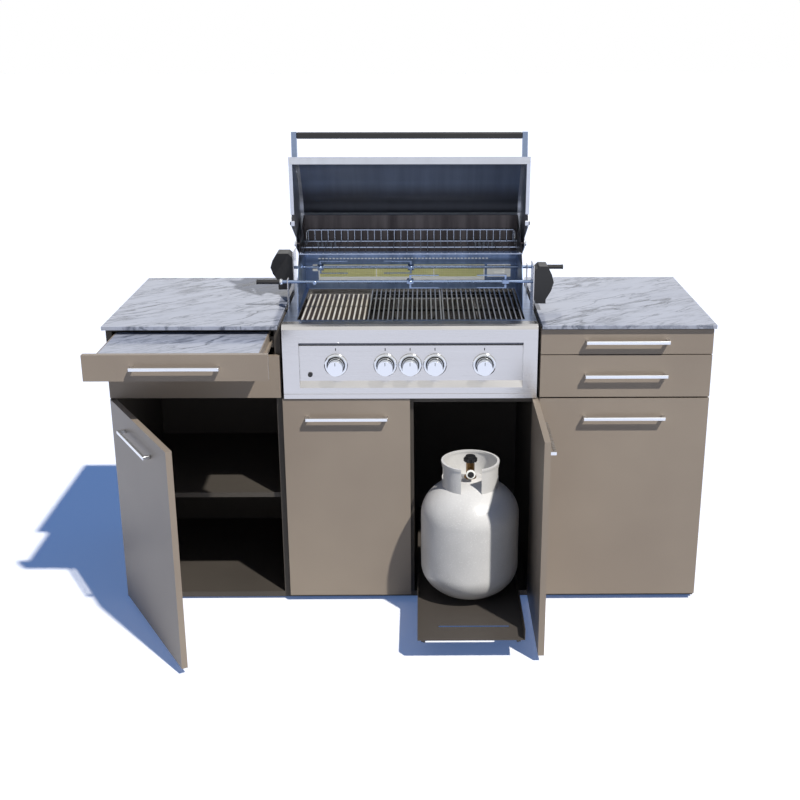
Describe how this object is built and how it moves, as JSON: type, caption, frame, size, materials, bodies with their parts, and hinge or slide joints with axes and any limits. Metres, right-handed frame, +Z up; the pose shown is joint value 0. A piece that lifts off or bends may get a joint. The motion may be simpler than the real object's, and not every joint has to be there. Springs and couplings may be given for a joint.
{
  "type": "outdoor kitchen island",
  "caption": "Outdoor kitchen island with a gas grill under an opening hood, stone tops, taupe doors and drawers, a rotisserie and a gas cylinder on a pull-out tray.",
  "frame": {"origin": "on the floor, at the middle of the open island's bounding box", "axes": "+X to the right along the front, +Y to the back, +Z up"},
  "size_m": [1.85, 1.0948, 1.4726],
  "materials": {
    "marble": "polished white stone with grey veins",
    "taupe": "satin taupe paint",
    "carcass": "matt brown-black board",
    "steel": "brushed stainless",
    "bar_steel": "satin silver",
    "chrome": "polished",
    "zinc": "satin grey",
    "black_plastic": "matt black",
    "black_metal": "satin black",
    "iron": "seasoned matt",
    "wire": "plated wire",
    "gas_paint": "satin light grey paint",
    "brass": "machined",
    "mesh": "matt yellow-green mesh"
  },
  "bodies": {
    "island": {"cabinet_sides": "carcass", "centre_partition": "carcass", "cabinet_bottoms": "carcass", "back_panels": "carcass", "top_rails": "carcass", "shelves": "carcass", "worktops": "marble", "levelling_feet": "black_plastic", "door_pivots": "zinc", "drawer_runners": "zinc", "gas_tray_runners": "zinc", "control_panel": "steel", "grill_housing": "steel", "burner_box": "steel", "grate_ledges": "steel", "guard_walls": "steel", "igniter_bracket": "steel", "hotplate": "iron", "cooking_grates": "iron", "burners": "steel", "rear_burner": "mesh", "warming_rack": "wire", "spit_brackets": "steel", "rotisserie_motors": "black_plastic"},
    "left_door": {"left_door": "taupe", "left_door_handle": "bar_steel"},
    "centre_left_door": {"centre_left_door": "taupe", "centre_left_door_handle": "bar_steel"},
    "centre_right_door": {"centre_right_door": "taupe", "centre_right_door_handle": "bar_steel"},
    "right_door": {"right_door": "taupe", "right_door_handle": "bar_steel"},
    "pullout_board": {"pullout_front": "taupe", "pullout_frame": "taupe", "pullout_board": "marble", "pullout_handle": "bar_steel"},
    "left_drawer": {"left_drawer": "taupe", "left_drawer_handle": "bar_steel"},
    "right_upper_drawer": {"right_upper_drawer": "taupe", "right_upper_drawer_handle": "bar_steel"},
    "right_lower_drawer": {"right_lower_drawer": "taupe", "right_lower_drawer_handle": "bar_steel"},
    "gas_tray": {"gas_tray": "zinc", "gas_cylinder": "gas_paint", "cylinder_collar": "gas_paint", "cylinder_valve": "brass"},
    "valve_handwheel": {"valve_handwheel": "black_plastic"},
    "hood": {"hood": "steel", "hood_handle": "black_metal", "hood_handle_brackets": "steel"},
    "far_left_knob": {"far_left_knob": "chrome"},
    "left_knob": {"left_knob": "chrome"},
    "middle_knob": {"middle_knob": "chrome"},
    "right_knob": {"right_knob": "chrome"},
    "far_right_knob": {"far_right_knob": "chrome"},
    "ignition_button": {"ignition_button": "black_plastic"},
    "front_spit": {"front_spit": "wire", "front_spit_grip": "black_plastic"},
    "rear_spit": {"rear_spit": "wire", "rear_spit_grip": "black_plastic"}
  },
  "joints": [
    {"name": "left_door_hinge", "type": "hinge", "parent": "island", "child": "left_door", "pos_m": [-0.9155, -0.09611, 0.024], "axis": [0, 0, 1], "range_deg": [-50, 60]},
    {"name": "centre_left_door_hinge", "type": "hinge", "parent": "island", "child": "centre_left_door", "pos_m": [-0.3885, -0.09611, 0.024], "axis": [0, 0, 1], "range_deg": [-110, 0]},
    {"name": "centre_right_door_hinge", "type": "hinge", "parent": "island", "child": "centre_right_door", "pos_m": [0.3885, -0.09611, 0.024], "axis": [0, 0, 1], "range_deg": [-5, 20]},
    {"name": "right_door_hinge", "type": "hinge", "parent": "island", "child": "right_door", "pos_m": [0.401, -0.09611, 0.024], "axis": [0, 0, 1], "range_deg": [-60, 0]},
    {"name": "pullout_board_slide", "type": "slide", "parent": "island", "child": "pullout_board", "axis": [0, 1, 0], "range_m": [-0.15, 0.259]},
    {"name": "left_drawer_slide", "type": "slide", "parent": "island", "child": "left_drawer", "axis": [0, -1, 0], "range_m": [0, 0.4]},
    {"name": "right_upper_drawer_slide", "type": "slide", "parent": "island", "child": "right_upper_drawer", "axis": [0, -1, 0], "range_m": [0, 0.4]},
    {"name": "right_lower_drawer_slide", "type": "slide", "parent": "island", "child": "right_lower_drawer", "axis": [0, -1, 0], "range_m": [0, 0.4]},
    {"name": "gas_tray_slide", "type": "slide", "parent": "island", "child": "gas_tray", "axis": [0, 1, 0], "range_m": [0, 0.406]},
    {"name": "valve_turn", "type": "hinge", "parent": "gas_tray", "child": "valve_handwheel", "pos_m": [0.183, -0.17961, 0.525], "axis": [0, 0, 1], "range_deg": [0, 330]},
    {"name": "hood_hinge", "type": "hinge", "parent": "island", "child": "hood", "pos_m": [0, 0.25439, 1.108], "axis": [1, 0, 0], "range_deg": [0, 95]},
    {"name": "far_left_knob_turn", "type": "hinge", "parent": "island", "child": "far_left_knob", "pos_m": [-0.226, -0.09561, 0.803], "axis": [0, -1, 0], "range_deg": [0, 210]},
    {"name": "left_knob_turn", "type": "hinge", "parent": "island", "child": "left_knob", "pos_m": [-0.0755, -0.09561, 0.803], "axis": [0, -1, 0], "range_deg": [0, 210]},
    {"name": "middle_knob_turn", "type": "hinge", "parent": "island", "child": "middle_knob", "pos_m": [0, -0.09561, 0.803], "axis": [0, -1, 0], "range_deg": [0, 210]},
    {"name": "right_knob_turn", "type": "hinge", "parent": "island", "child": "right_knob", "pos_m": [0.0755, -0.09561, 0.803], "axis": [0, -1, 0], "range_deg": [0, 210]},
    {"name": "far_right_knob_turn", "type": "hinge", "parent": "island", "child": "far_right_knob", "pos_m": [0.226, -0.09561, 0.803], "axis": [0, -1, 0], "range_deg": [0, 210]},
    {"name": "ignition_press", "type": "slide", "parent": "island", "child": "ignition_button", "axis": [0, 1, 0], "range_m": [0, 0.004], "stiffness_N_per_m": 400},
    {"name": "front_spit_turn", "type": "hinge", "parent": "island", "child": "front_spit", "pos_m": [0, 0.10939, 1.015], "axis": [1, 0, 0], "continuous": true},
    {"name": "rear_spit_turn", "type": "hinge", "parent": "island", "child": "rear_spit", "pos_m": [0, 0.32439, 1.015], "axis": [1, 0, 0], "continuous": true}
  ]
}
